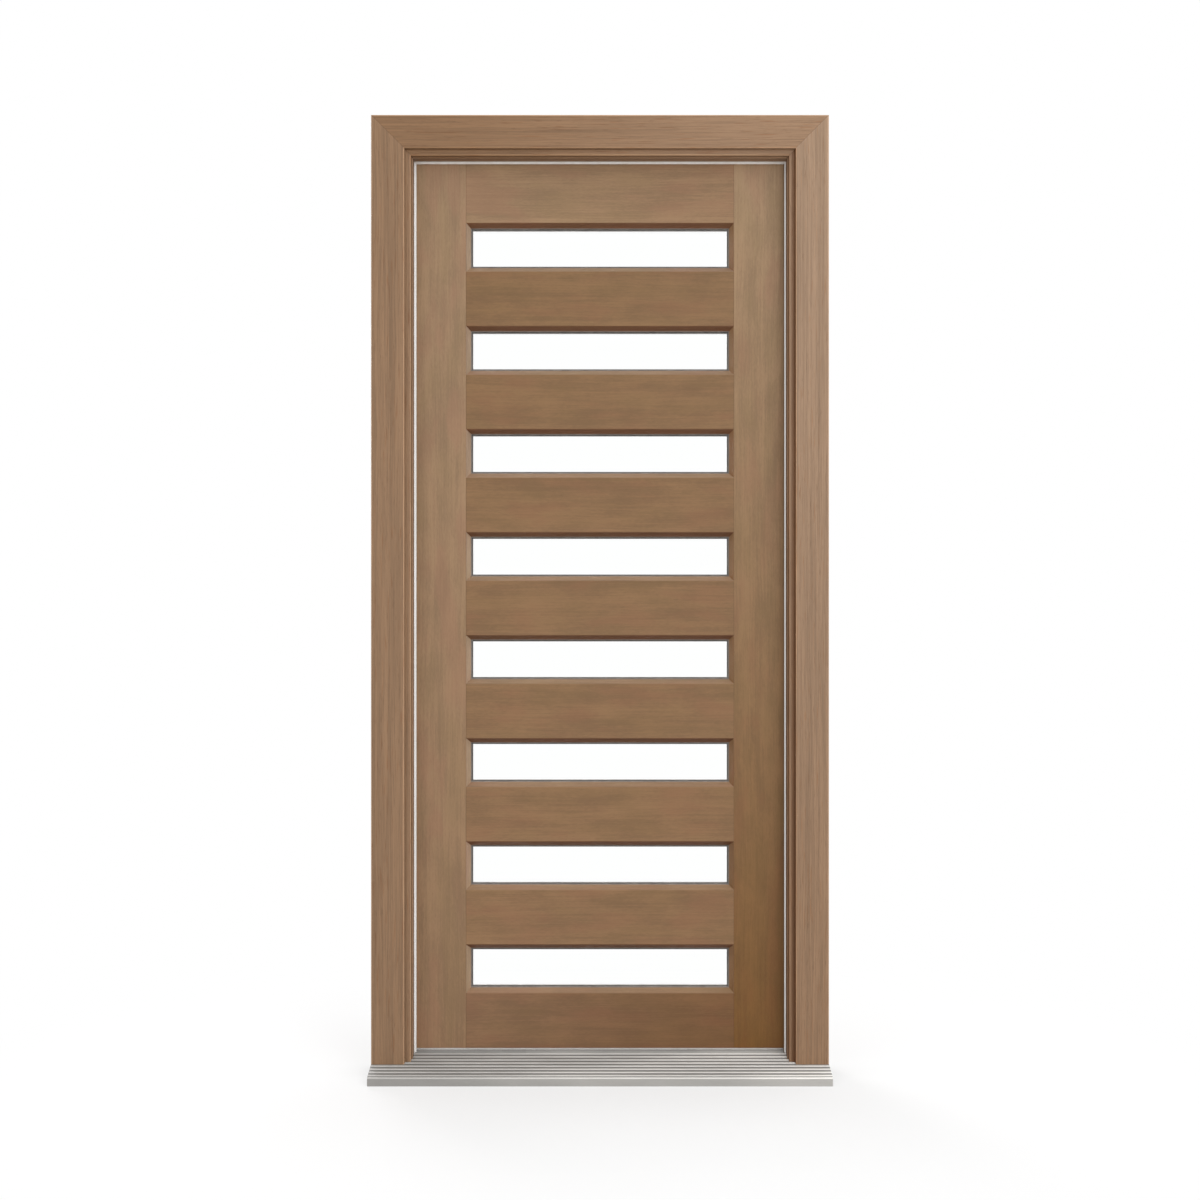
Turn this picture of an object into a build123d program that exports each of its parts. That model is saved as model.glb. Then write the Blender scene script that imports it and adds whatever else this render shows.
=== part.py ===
from build123d import *

import os
from math import radians, tan

os.makedirs("parts", exist_ok=True)

# Door leaf. X runs across the door, -Y is the outside, Z is up.
LEAF_WIDTH = 838
LEAF_THICKNESS = 44
STILE_WIDTH = 120
TOP_RAIL_WIDTH = 140
MID_RAIL_WIDTH = 121
BOTTOM_RAIL_WIDTH = 122
SLOT_HEIGHT = 109
SLOT_COUNT = 8
LEAD_EDGE_BEVEL = 2
RAIL_ARRIS = 1
STILE_ARRIS = 2

# Glazing of one slot, from the leaf's face inwards
BEAD_DEPTH = 15
BEAD_WIDTH = 10
BEAD_NOSE = 1.2
BEAD_SET_BACK = 0.6
BEAD_LAND = 2.5
PANE_THICKNESS = 4
UNIT_EDGE_GAP = 2
SPACER_WIDTH = 12.5

# Clearances round the leaf
EDGE_GAP = 5
STOP_GAP = 5
SEAL_GAP = 0.5

# Frame section, used by the two jambs and the head
FACE_WIDTH = 73.5
FACE_ARRIS = 4
STEP_WIDTH = 13
STEP_DEPTH = 12
STEP_ARRIS = 3
LIP_WIDTH = 2.5
LIP_DEPTH = 24.5
LIP_ARRIS = 1.2
STOP_DEPTH = 54
STOP_OVERLAP = 5
BACK_ARRIS = 2

# Weather seal in the stop
SEAL_GROOVE_WIDTH = 3
SEAL_GROOVE_DEPTH = 6
SEAL_GROOVE_INSET = 3.5
SEAL_STEM_PLAY = 0.1
SEAL_FOOT_WIDTH = 6.5
SEAL_FOOT_INSET = 0.5
SEAL_THICKNESS = 1.6
SEAL_LIP = 4.5

# Aluminium sill
NOSING_PROJECTION = 60
NOSING_HEIGHT = 18
NOSING_ARRIS = 3
RAMP_ANGLE = 11.6
RAMP_END = 60
SILL_WALL = 3
SILL_CELL_COUNT = 3
RIB_COUNT = 8
RIB_PITCH = 14
RIB_FIRST = 11
RIB_RADIUS = 5
RIB_HEIGHT = 1.1
DRAIN_WIDTH = 7.5
DRAIN_DEPTH = 4
END_CAP_THICKNESS = 2

# Threshold strip on the sill, with its seal
STRIP_HEIGHT = 3
STRIP_WIDTH = 34
STRIP_FRONT = 2
STRIP_CHAMFER = 0.8
STRIP_GROOVE_INSET = 3
STRIP_GROOVE_WIDTH = 5
STRIP_GROOVE_DEPTH = 1.6
FIN_THICKNESS = 2.4

# Butt hinges on the inside
HINGE_SIDE = -1
HINGE_HEIGHT = 102
HINGE_PLATE_DEPTH = 32
HINGE_PLATE_THICKNESS = 2.5
HINGE_FROM_TOP = 150
HINGE_FROM_BOTTOM = 225
KNUCKLE_RADIUS = 6.5
KNUCKLE_COUNT = 5
KNUCKLE_GAP = 0.4
KNUCKLE_PROUD = 0.5
PIN_RADIUS = 3.5
PIN_PLAY = 0.05
PIN_HEAD_RADIUS = 5.5
PIN_HEAD_HEIGHT = 3

# Places that follow from the sizes above
LEAF_HEIGHT = (
    TOP_RAIL_WIDTH + BOTTOM_RAIL_WIDTH + SLOT_COUNT * SLOT_HEIGHT + (SLOT_COUNT - 1) * MID_RAIL_WIDTH
)
DECK_Z = NOSING_HEIGHT + (NOSING_PROJECTION + RAMP_END) * tan(radians(RAMP_ANGLE))
LEAF_BOTTOM = DECK_Z + STRIP_HEIGHT + EDGE_GAP
LEAF_TOP = LEAF_BOTTOM + LEAF_HEIGHT
LEAF_FRONT = STOP_DEPTH + STOP_GAP
LEAF_BACK = LEAF_FRONT + LEAF_THICKNESS
LEAF_MIDDLE = (LEAF_FRONT + LEAF_BACK) / 2
FRAME_DEPTH = LEAF_BACK
STOP_REACH = FACE_WIDTH + STEP_WIDTH + LIP_WIDTH
REBATE_REACH = STOP_REACH - STOP_OVERLAP - EDGE_GAP
FRAME_WIDTH = LEAF_WIDTH + 2 * (STOP_REACH - STOP_OVERLAP)
FRAME_TOP = LEAF_TOP + STOP_REACH - STOP_OVERLAP
SLOT_WIDTH = LEAF_WIDTH - 2 * STILE_WIDTH
SLOT_PITCH = SLOT_HEIGHT + MID_RAIL_WIDTH
SLOT_TOP = LEAF_TOP - TOP_RAIL_WIDTH
SLOT_CENTRES = [SLOT_TOP - SLOT_HEIGHT / 2 - i * SLOT_PITCH for i in range(SLOT_COUNT)]
CAVITY = LEAF_THICKNESS - 2 * (BEAD_DEPTH + PANE_THICKNESS)
HINGE_X = HINGE_SIDE * (LEAF_WIDTH + EDGE_GAP) / 2
HINGE_Y = LEAF_BACK + KNUCKLE_RADIUS + KNUCKLE_PROUD
HINGE_BASES = {
    "top": LEAF_TOP - HINGE_FROM_TOP - HINGE_HEIGHT,
    "middle": (LEAF_TOP - HINGE_FROM_TOP + LEAF_BOTTOM + HINGE_FROM_BOTTOM - HINGE_HEIGHT) / 2,
    "bottom": LEAF_BOTTOM + HINGE_FROM_BOTTOM,
}


def save(builder, name):
    """Label the finished piece and write it to its own file."""
    builder.part.label = name
    export_step(builder.part, f"parts/{name}.step")


def ramp_height(y):
    """Height of the sill's ramp at a depth, before its ribs."""
    return NOSING_HEIGHT + (y + NOSING_PROJECTION) * tan(radians(RAMP_ANGLE))


# Sill
def sill_outline():
    """Closed outline of the sill with its ribs: x is the depth, y the height."""
    with BuildSketch() as outline:
        with BuildLine():
            FilletPolyline(
                (-NOSING_PROJECTION, 0),
                (-NOSING_PROJECTION, NOSING_HEIGHT),
                (RAMP_END, DECK_Z),
                (FRAME_DEPTH, DECK_Z),
                (FRAME_DEPTH, 0),
                radius=[0, NOSING_ARRIS, 0, 0, 0],
                close=True,
            )
        make_face()
        for i in range(RIB_COUNT):
            y = -NOSING_PROJECTION + RIB_FIRST + i * RIB_PITCH
            with Locations((y, ramp_height(y) + RIB_HEIGHT - RIB_RADIUS)):
                Circle(RIB_RADIUS)
    return outline.sketch


def sill_cells():
    """Hollow cells of the extrusion, a wall inside its outline and a web apart."""
    start = -NOSING_PROJECTION + SILL_WALL
    cell = (FRAME_DEPTH - SILL_WALL - start - (SILL_CELL_COUNT - 1) * SILL_WALL) / SILL_CELL_COUNT
    ceiling = DECK_Z - DRAIN_DEPTH - SILL_WALL
    with BuildSketch() as cells:
        for i in range(SILL_CELL_COUNT):
            front = start + i * (cell + SILL_WALL)
            back = front + cell
            top_front = min(ramp_height(front) - SILL_WALL, ceiling)
            top_back = min(ramp_height(back) - SILL_WALL, ceiling)
            knee = RAMP_END - DRAIN_WIDTH - SILL_WALL
            with BuildLine():
                if front < knee < back:
                    Polyline(
                        (front, SILL_WALL),
                        (front, top_front),
                        (knee, min(ramp_height(knee) - SILL_WALL, ceiling)),
                        (back, top_back),
                        (back, SILL_WALL),
                        close=True,
                    )
                else:
                    Polyline(
                        (front, SILL_WALL),
                        (front, top_front),
                        (back, top_back),
                        (back, SILL_WALL),
                        close=True,
                    )
            make_face()
    return cells.sketch


SILL_OUTLINE = sill_outline()
SILL_CELLS = sill_cells()
SILL_LENGTH = FRAME_WIDTH - 2 * END_CAP_THICKNESS

with BuildPart() as sill:
    with BuildSketch(Plane.YZ):
        add(SILL_OUTLINE)
        add(SILL_CELLS, mode=Mode.SUBTRACT)
        with Locations((RAMP_END, DECK_Z)):
            Rectangle(DRAIN_WIDTH, 2 * DRAIN_DEPTH, align=(Align.MAX, Align.CENTER), mode=Mode.SUBTRACT)
    extrude(amount=SILL_LENGTH / 2, both=True)
save(sill, "sill")

with BuildPart() as sill_end_caps:
    for side in (-1, 1):
        with BuildSketch(Plane.YZ.offset(side * (FRAME_WIDTH - END_CAP_THICKNESS) / 2)):
            add(SILL_OUTLINE)
        extrude(amount=END_CAP_THICKNESS / 2, both=True)
save(sill_end_caps, "sill_end_caps")

STRIP_Y = RAMP_END + STRIP_FRONT
GROOVE_Y = STRIP_Y + STRIP_GROOVE_INSET
STRIP_TOP = DECK_Z + STRIP_HEIGHT
STRIP_LENGTH = FRAME_WIDTH - 2 * REBATE_REACH

with BuildPart() as threshold_strip:
    with BuildSketch(Plane.YZ):
        with Locations((STRIP_Y, DECK_Z)):
            Rectangle(STRIP_WIDTH, STRIP_HEIGHT, align=Align.MIN)
        with Locations((GROOVE_Y, STRIP_TOP)):
            Rectangle(STRIP_GROOVE_WIDTH, STRIP_GROOVE_DEPTH, align=(Align.MIN, Align.MAX), mode=Mode.SUBTRACT)
    extrude(amount=STRIP_LENGTH / 2, both=True)
    top_edges = threshold_strip.edges().filter_by(Axis.X).filter_by_position(Axis.Z, STRIP_TOP, STRIP_TOP)
    chamfer([top_edges.sort_by(Axis.Y)[0], top_edges.sort_by(Axis.Y)[-1]], STRIP_CHAMFER)
save(threshold_strip, "threshold_strip")

with BuildPart() as threshold_seal:
    with BuildSketch(Plane.YZ):
        with Locations((GROOVE_Y, STRIP_TOP)):
            Rectangle(STRIP_GROOVE_WIDTH, STRIP_GROOVE_DEPTH, align=(Align.MIN, Align.MAX))
        with Locations((GROOVE_Y + STRIP_GROOVE_WIDTH / 2, STRIP_TOP)):
            Rectangle(FIN_THICKNESS, EDGE_GAP - SEAL_GAP, align=(Align.CENTER, Align.MIN))
    extrude(amount=STRIP_LENGTH / 2, both=True)
save(threshold_seal, "threshold_seal")


# Frame
def frame_section():
    """Section of jambs and head: x runs inwards from the outer face, y is the depth."""
    with BuildSketch() as section:
        with BuildLine():
            FilletPolyline(
                (0, 0),
                (FACE_WIDTH, 0),
                (FACE_WIDTH, STEP_DEPTH),
                (FACE_WIDTH + STEP_WIDTH, STEP_DEPTH),
                (FACE_WIDTH + STEP_WIDTH, LIP_DEPTH),
                (STOP_REACH, LIP_DEPTH),
                (STOP_REACH, STOP_DEPTH),
                (REBATE_REACH, STOP_DEPTH),
                (REBATE_REACH, FRAME_DEPTH),
                (0, FRAME_DEPTH),
                radius=[FACE_ARRIS, FACE_ARRIS, 0, STEP_ARRIS, 0, LIP_ARRIS, 0, 0, BACK_ARRIS, BACK_ARRIS],
                close=True,
            )
        make_face()
        with Locations((STOP_REACH - SEAL_GROOVE_INSET, STOP_DEPTH)):
            Rectangle(SEAL_GROOVE_WIDTH, 2 * SEAL_GROOVE_DEPTH, mode=Mode.SUBTRACT)
    return section.sketch


def seal_section():
    """Section of the weather seal: a stem in the groove, a foot and a lip past the stop."""
    foot_start = STOP_REACH - SEAL_FOOT_INSET - SEAL_FOOT_WIDTH
    foot_end = STOP_REACH - SEAL_FOOT_INSET
    tip = STOP_REACH + SEAL_LIP
    leaf_side = STOP_DEPTH + STOP_GAP - SEAL_GAP
    with BuildSketch() as section:
        with BuildLine():
            Polyline(
                (foot_start, STOP_DEPTH),
                (foot_end, STOP_DEPTH),
                (tip, leaf_side - SEAL_THICKNESS),
                (tip, leaf_side),
                (tip - SEAL_THICKNESS, leaf_side),
                (foot_end - SEAL_THICKNESS, STOP_DEPTH + SEAL_THICKNESS),
                (foot_start, STOP_DEPTH + SEAL_THICKNESS),
                close=True,
            )
        make_face()
        with Locations((STOP_REACH - SEAL_GROOVE_INSET, STOP_DEPTH)):
            Rectangle(
                SEAL_GROOVE_WIDTH - 2 * SEAL_STEM_PLAY,
                SEAL_GROOVE_DEPTH - SEAL_STEM_PLAY,
                align=(Align.CENTER, Align.MAX),
            )
    return section.sketch


def upright(section, side):
    """Carry a section up one side of the frame, mitred at the top and scribed to the sill."""
    outer = side * FRAME_WIDTH / 2
    with BuildPart() as piece:
        with BuildSketch(Plane(origin=(outer, 0, 0), x_dir=(-side, 0, 0), z_dir=(0, 0, -side))):
            add(section)
        extrude(amount=-side * FRAME_TOP)
        split(bisect_by=Plane(origin=(outer, 0, FRAME_TOP), z_dir=(side, 0, -1)), keep=Keep.TOP)
        with BuildSketch(Plane.YZ):
            add(SILL_OUTLINE)
        extrude(amount=FRAME_WIDTH, both=True, mode=Mode.SUBTRACT)
    return piece


def crosspiece(section):
    """Carry a section across the top of the frame, mitred at both ends."""
    with BuildPart() as piece:
        with BuildSketch(Plane(origin=(0, 0, FRAME_TOP), x_dir=(0, 0, -1), z_dir=(1, 0, 0))):
            add(section)
        extrude(amount=FRAME_WIDTH / 2, both=True)
        for side in (-1, 1):
            split(
                bisect_by=Plane(origin=(side * FRAME_WIDTH / 2, 0, FRAME_TOP), z_dir=(-side, 0, 1)),
                keep=Keep.TOP,
            )
    return piece


def hinge_recess(x, towards):
    """Cut the three shallow hinge recesses from a face at x, into the wood."""
    for base in HINGE_BASES.values():
        with Locations((x, LEAF_BACK, base)):
            Box(
                HINGE_PLATE_THICKNESS,
                HINGE_PLATE_DEPTH,
                HINGE_HEIGHT,
                align=(Align.MIN if towards > 0 else Align.MAX, Align.MAX, Align.MIN),
                mode=Mode.SUBTRACT,
            )


FRAME_SECTION = frame_section()
SEAL_SECTION = seal_section()
JAMB_FACE = FRAME_WIDTH / 2 - REBATE_REACH

jamb_left = upright(FRAME_SECTION, -1)
jamb_right = upright(FRAME_SECTION, 1)
with jamb_left if HINGE_SIDE < 0 else jamb_right:
    hinge_recess(HINGE_SIDE * JAMB_FACE, HINGE_SIDE)
save(jamb_left, "jamb_left")
save(jamb_right, "jamb_right")
save(crosspiece(FRAME_SECTION), "head")
save(upright(SEAL_SECTION, -1), "seal_left")
save(upright(SEAL_SECTION, 1), "seal_right")
save(crosspiece(SEAL_SECTION), "seal_head")


# Leaf stiles and rails
def stile(side, bevel):
    """One full-height stile, its outer edge bevelled towards the outside face."""
    edge = side * LEAF_WIDTH / 2
    inner = side * (LEAF_WIDTH / 2 - STILE_WIDTH)
    with BuildPart() as piece:
        with BuildSketch(Plane.XY.offset(LEAF_BOTTOM)):
            with BuildLine():
                FilletPolyline(
                    (inner, LEAF_FRONT),
                    (edge - side * bevel, LEAF_FRONT),
                    (edge, LEAF_BACK),
                    (inner, LEAF_BACK),
                    radius=[0, STILE_ARRIS, STILE_ARRIS, 0],
                    close=True,
                )
            make_face()
        extrude(amount=LEAF_HEIGHT)
    return piece


def rail(low, width, rounded):
    """One rail between the stiles, with the listed long sides rounded over."""
    with BuildPart() as piece:
        with BuildSketch(Plane.XY.offset(low)):
            with Locations((0, LEAF_MIDDLE)):
                Rectangle(SLOT_WIDTH, LEAF_THICKNESS)
        extrude(amount=width)
        long_edges = piece.edges().filter_by(Axis.X).sort_by(Axis.Z)
        if "below" in rounded:
            fillet(long_edges[:2], RAIL_ARRIS)
        if "above" in rounded:
            top_edges = piece.edges().filter_by(Axis.X).group_by(Axis.Z)[-1]
            fillet(top_edges, RAIL_ARRIS)
    return piece


hinge_stile = stile(HINGE_SIDE, 0)
with hinge_stile:
    hinge_recess(HINGE_SIDE * LEAF_WIDTH / 2, -HINGE_SIDE)
save(hinge_stile, "hinge_stile")
save(stile(-HINGE_SIDE, LEAD_EDGE_BEVEL), "lock_stile")

save(rail(SLOT_TOP, TOP_RAIL_WIDTH, ("below",)), "top_rail")
save(rail(LEAF_BOTTOM, BOTTOM_RAIL_WIDTH, ("above",)), "bottom_rail")
for i, centre in enumerate(SLOT_CENTRES[1:], start=1):
    save(rail(centre + SLOT_HEIGHT / 2, MID_RAIL_WIDTH, ("below", "above")), f"rail_{i}")


# Glass units
for i, centre in enumerate(SLOT_CENTRES, start=1):
    with BuildPart() as glass:
        for y in (LEAF_FRONT + BEAD_DEPTH, LEAF_BACK - BEAD_DEPTH - PANE_THICKNESS):
            with Locations((0, y, centre)):
                Box(
                    SLOT_WIDTH - 2 * UNIT_EDGE_GAP,
                    PANE_THICKNESS,
                    SLOT_HEIGHT - 2 * UNIT_EDGE_GAP,
                    align=(Align.CENTER, Align.MIN, Align.CENTER),
                )
    save(glass, f"glass_{i}")

with BuildPart() as glass_spacers:
    with BuildSketch(Plane.XZ.offset(-LEAF_MIDDLE)):
        with Locations(*[(0, centre) for centre in SLOT_CENTRES]):
            unit = (SLOT_WIDTH - 2 * UNIT_EDGE_GAP, SLOT_HEIGHT - 2 * UNIT_EDGE_GAP)
            Rectangle(unit[0], unit[1])
            Rectangle(unit[0] - 2 * SPACER_WIDTH, unit[1] - 2 * SPACER_WIDTH, mode=Mode.SUBTRACT)
    extrude(amount=CAVITY / 2, both=True)
save(glass_spacers, "glass_spacers")


# Glazing beads
def bead_section():
    """Section of a bead: x runs inwards from the slot's edge, y is the depth from the face."""
    with BuildSketch() as section:
        with BuildLine():
            Polyline(
                (0, BEAD_SET_BACK),
                (BEAD_NOSE, BEAD_SET_BACK),
                (BEAD_WIDTH, BEAD_DEPTH - BEAD_LAND),
                (BEAD_WIDTH, BEAD_DEPTH),
                (0, BEAD_DEPTH),
                close=True,
            )
        make_face()
    return section.sketch


BEAD_SECTION = bead_section()


def bead_row(edge, inward, along, length):
    """The same mitred bead on one side of every slot, on the outside face."""
    inward = Vector(inward)
    along = Vector(along)
    start = Vector(*edge)
    with BuildPart() as bead:
        with BuildSketch(Plane(origin=start, x_dir=inward, z_dir=inward.cross(Vector(0, 1, 0)))):
            add(BEAD_SECTION)
        extrude(amount=length / 2, both=True)
        for end in (-1, 1):
            corner = start + along * (end * length / 2)
            split(bisect_by=Plane(origin=corner, z_dir=along * -end - inward), keep=Keep.TOP)
    with BuildPart() as row:
        with Locations(*[(0, 0, centre) for centre in SLOT_CENTRES]):
            add(bead.part)
    return row


BEAD_SIDES = {
    "top": ((0, LEAF_FRONT, SLOT_HEIGHT / 2), (0, 0, -1), (1, 0, 0), SLOT_WIDTH),
    "bottom": ((0, LEAF_FRONT, -SLOT_HEIGHT / 2), (0, 0, 1), (1, 0, 0), SLOT_WIDTH),
    "left": ((-SLOT_WIDTH / 2, LEAF_FRONT, 0), (1, 0, 0), (0, 0, 1), SLOT_HEIGHT),
    "right": ((SLOT_WIDTH / 2, LEAF_FRONT, 0), (-1, 0, 0), (0, 0, 1), SLOT_HEIGHT),
}
for place, (edge, inward, along, length) in BEAD_SIDES.items():
    outer_beads = bead_row(edge, inward, along, length)
    save(outer_beads, f"outer_beads_{place}")
    with BuildPart() as inner_beads:
        mirror(outer_beads.part, about=Plane.XZ.offset(-LEAF_MIDDLE))
    save(inner_beads, f"inner_beads_{place}")


# Hinges
KNUCKLE_LENGTH = HINGE_HEIGHT / KNUCKLE_COUNT


def hinge_half(base, knuckles, face, towards):
    """A hinge plate in its recess, joined to its own share of the knuckles."""
    plate_middle = face + towards * HINGE_PLATE_THICKNESS / 2
    with BuildPart() as half:
        with Locations((plate_middle, LEAF_BACK, base)):
            Box(HINGE_PLATE_THICKNESS, HINGE_PLATE_DEPTH, HINGE_HEIGHT, align=(Align.CENTER, Align.MAX, Align.MIN))
        for i in knuckles:
            low = base + i * KNUCKLE_LENGTH + KNUCKLE_GAP / 2
            height = KNUCKLE_LENGTH - KNUCKLE_GAP
            with Locations((plate_middle, LEAF_BACK, low)):
                Box(HINGE_PLATE_THICKNESS, HINGE_Y - LEAF_BACK, height, align=(Align.CENTER, Align.MIN, Align.MIN))
            with Locations((HINGE_X, HINGE_Y, low)):
                Cylinder(KNUCKLE_RADIUS, height, align=(Align.CENTER, Align.CENTER, Align.MIN))
        with Locations((HINGE_X, HINGE_Y, base)):
            Cylinder(
                PIN_RADIUS + PIN_PLAY,
                HINGE_HEIGHT,
                align=(Align.CENTER, Align.CENTER, Align.MIN),
                mode=Mode.SUBTRACT,
            )
    return half


for place, base in HINGE_BASES.items():
    frame_knuckles = range(0, KNUCKLE_COUNT, 2)
    leaf_knuckles = range(1, KNUCKLE_COUNT, 2)
    frame_half = hinge_half(base, frame_knuckles, HINGE_SIDE * JAMB_FACE, HINGE_SIDE)
    save(frame_half, f"hinge_{place}_frame_half")
    leaf_half = hinge_half(base, leaf_knuckles, HINGE_SIDE * LEAF_WIDTH / 2, -HINGE_SIDE)
    save(leaf_half, f"hinge_{place}_leaf_half")

with BuildPart() as hinge_pins:
    for base in HINGE_BASES.values():
        low = base + KNUCKLE_GAP / 2
        top = base + HINGE_HEIGHT - KNUCKLE_GAP / 2
        with Locations((HINGE_X, HINGE_Y, low)):
            Cylinder(PIN_RADIUS, top - low, align=(Align.CENTER, Align.CENTER, Align.MIN))
        with Locations((HINGE_X, HINGE_Y, top)):
            Cylinder(PIN_HEAD_RADIUS, PIN_HEAD_HEIGHT, align=(Align.CENTER, Align.CENTER, Align.MIN))
save(hinge_pins, "hinge_pins")
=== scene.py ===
"""Looks of the glass panel door: stained timber leaf and frame, sealed glass, hinges and ribbed sill."""

import bpy
import numpy as np
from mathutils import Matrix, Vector


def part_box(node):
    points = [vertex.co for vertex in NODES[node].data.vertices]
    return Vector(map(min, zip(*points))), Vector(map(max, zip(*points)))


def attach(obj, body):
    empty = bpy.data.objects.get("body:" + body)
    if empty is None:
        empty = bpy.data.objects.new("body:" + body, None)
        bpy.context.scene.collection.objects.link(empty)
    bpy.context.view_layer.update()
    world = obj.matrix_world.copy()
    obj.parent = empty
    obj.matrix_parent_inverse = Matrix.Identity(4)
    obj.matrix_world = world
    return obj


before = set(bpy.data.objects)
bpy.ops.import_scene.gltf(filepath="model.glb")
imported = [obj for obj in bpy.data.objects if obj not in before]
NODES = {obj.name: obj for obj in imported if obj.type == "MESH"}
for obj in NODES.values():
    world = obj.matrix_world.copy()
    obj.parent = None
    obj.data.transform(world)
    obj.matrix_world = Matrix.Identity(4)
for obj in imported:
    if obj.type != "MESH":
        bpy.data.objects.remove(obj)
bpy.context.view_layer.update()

MM = 0.001
WHITE = (1.0, 1.0, 1.0, 1.0)
BLACK = (0.0, 0.0, 0.0, 1.0)


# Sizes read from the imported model
def span(node):
    """Lowest and highest corner of one node as plain arrays."""
    low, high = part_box(node)
    return np.array(low), np.array(high)


FRAME_HIGH = np.maximum(span("jamb_right")[1], span("head")[1])
LEAF_LOW = np.minimum(span("hinge_stile")[0], span("bottom_rail")[0])
LEAF_HIGH = np.maximum(span("lock_stile")[1], span("top_rail")[1])
SLOT_HALF_WIDTH = span("rail_1")[1][0]
SLOT_HALF_HEIGHT = (span("rail_1")[0][2] - span("rail_2")[1][2]) / 2
SILL_LOW, SILL_HIGH = span("sill")
STRIP_LOW, STRIP_HIGH = span("threshold_strip")
GLASS_NAMES = [f"glass_{i}" for i in range(1, 9)]
MIDDLE_RAILS = [f"rail_{i}" for i in range(1, 8)]
HINGE_PLACES = ("top", "middle", "bottom")


# Shader helpers
def linear(red, green, blue):
    """An sRGB colour from 0 to 255 as linear RGBA."""
    values = np.array([red, green, blue]) / 255
    low = values / 12.92
    high = ((values + 0.055) / 1.055) ** 2.4
    return (*np.where(values <= 0.04045, low, high).tolist(), 1.0)


class Tree:
    """A short way to add and join shader nodes."""

    def __init__(self, tree):
        self.tree = tree

    def node(self, kind, **settings):
        """Add one node, set its plain properties and give it back."""
        made = self.tree.nodes.new(kind)
        for name, value in settings.items():
            setattr(made, name, value)
        return made

    def feed(self, socket, value):
        """Join a socket to an output, or write a constant to it."""
        if isinstance(value, bpy.types.NodeSocket):
            self.tree.links.new(value, socket)
        elif value is not None:
            socket.default_value = value

    def group(self, group, values):
        """Place a node group with its inputs fed by name, its outputs given back."""
        made = self.node("ShaderNodeGroup", node_tree=group)
        for socket, value in values.items():
            self.feed(made.inputs[socket], value)
        return made.outputs

    def axes(self, vector):
        """The X, Y and Z of a coordinate."""
        made = self.node("ShaderNodeSeparateXYZ")
        self.feed(made.inputs[0], vector)
        return made.outputs

    def maths(self, operation, first, second=None, third=None):
        """One Math node, its result given back."""
        made = self.node("ShaderNodeMath", operation=operation)
        for socket, value in zip(made.inputs, (first, second, third)):
            self.feed(socket, value)
        return made.outputs[0]

    def mix(self, share, first, second, blend="MIX"):
        """Mix two colours by a share."""
        made = self.node("ShaderNodeMix", data_type="RGBA", blend_type=blend)
        self.feed(made.inputs[0], share)
        self.feed(made.inputs[6], first)
        self.feed(made.inputs[7], second)
        return made.outputs[2]

    def tint(self, share, colour, tint):
        """A colour multiplied by a tint, by a share."""
        return self.mix(share, colour, tint, "MULTIPLY")

    def stretch(self, vector, scale, shift=None, turn=None):
        """Scale, turn and shift a coordinate."""
        made = self.node("ShaderNodeMapping")
        self.feed(made.inputs["Vector"], vector)
        self.feed(made.inputs["Scale"], scale)
        self.feed(made.inputs["Location"], shift)
        self.feed(made.inputs["Rotation"], turn)
        return made.outputs[0]

    def noise(self, vector, scale, detail=2.0, rough=0.5):
        """Smooth noise from 0 to 1 on a coordinate, scaled along each axis."""
        made = self.node("ShaderNodeTexNoise")
        self.feed(made.inputs["Vector"], self.stretch(vector, scale))
        made.inputs["Scale"].default_value = 1.0
        made.inputs["Detail"].default_value = detail
        made.inputs["Roughness"].default_value = rough
        return made.outputs[0]

    def bent(self, vector, scale, reach):
        """A coordinate pushed aside by slow noise, up to half the reach each way."""
        sway = self.node("ShaderNodeVectorMath", operation="SCALE")
        sway.inputs[0].default_value = reach
        self.feed(sway.inputs["Scale"], self.maths("SUBTRACT", self.noise(vector, scale), 0.5))
        moved = self.node("ShaderNodeVectorMath", operation="ADD")
        self.feed(moved.inputs[0], vector)
        self.feed(moved.inputs[1], sway.outputs[0])
        return moved.outputs[0]

    def blend_of(self, *parts):
        """Weighted sum of values."""
        total = 0.0
        for value, weight in parts:
            total = self.maths("MULTIPLY_ADD", value, weight, total)
        return total

    def ease(self, value, start, end, low=0.0, high=1.0, kind="SMOOTHSTEP"):
        """Value eased from low at start to high at end."""
        made = self.node("ShaderNodeMapRange", interpolation_type=kind)
        for socket, number in zip(made.inputs, (value, start, end, low, high)):
            self.feed(socket, number)
        return made.outputs[0]

    def relief(self, height, strength, distance):
        """The normal of a surface with a small relief."""
        made = self.node("ShaderNodeBump")
        made.inputs["Strength"].default_value = strength
        made.inputs["Distance"].default_value = distance
        self.feed(made.inputs["Height"], height)
        return made.outputs[0]


def new_group(name, inputs, outputs):
    """An empty shader group with its named sockets."""
    tree = bpy.data.node_groups.new(name, "ShaderNodeTree")
    for socket, (kind, value) in inputs.items():
        made = tree.interface.new_socket(socket, in_out="INPUT", socket_type=kind)
        if value is not None:
            made.default_value = value
    for socket, kind in outputs.items():
        tree.interface.new_socket(socket, in_out="OUTPUT", socket_type=kind)
    made = Tree(tree)
    return made, made.node("NodeGroupInput").outputs, made.node("NodeGroupOutput").inputs


def new_material(name):
    """A node material, with its tree helper and its shader's sockets."""
    material = bpy.data.materials.new(name)
    material.use_nodes = True
    return material, Tree(material.node_tree), material.node_tree.nodes["Principled BSDF"].inputs


def paint(node, material):
    """Give a node its one material."""
    if len(NODES[node].material_slots) == 0:
        NODES[node].data.materials.append(material)
    for slot in NODES[node].material_slots:
        slot.material = material


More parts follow.
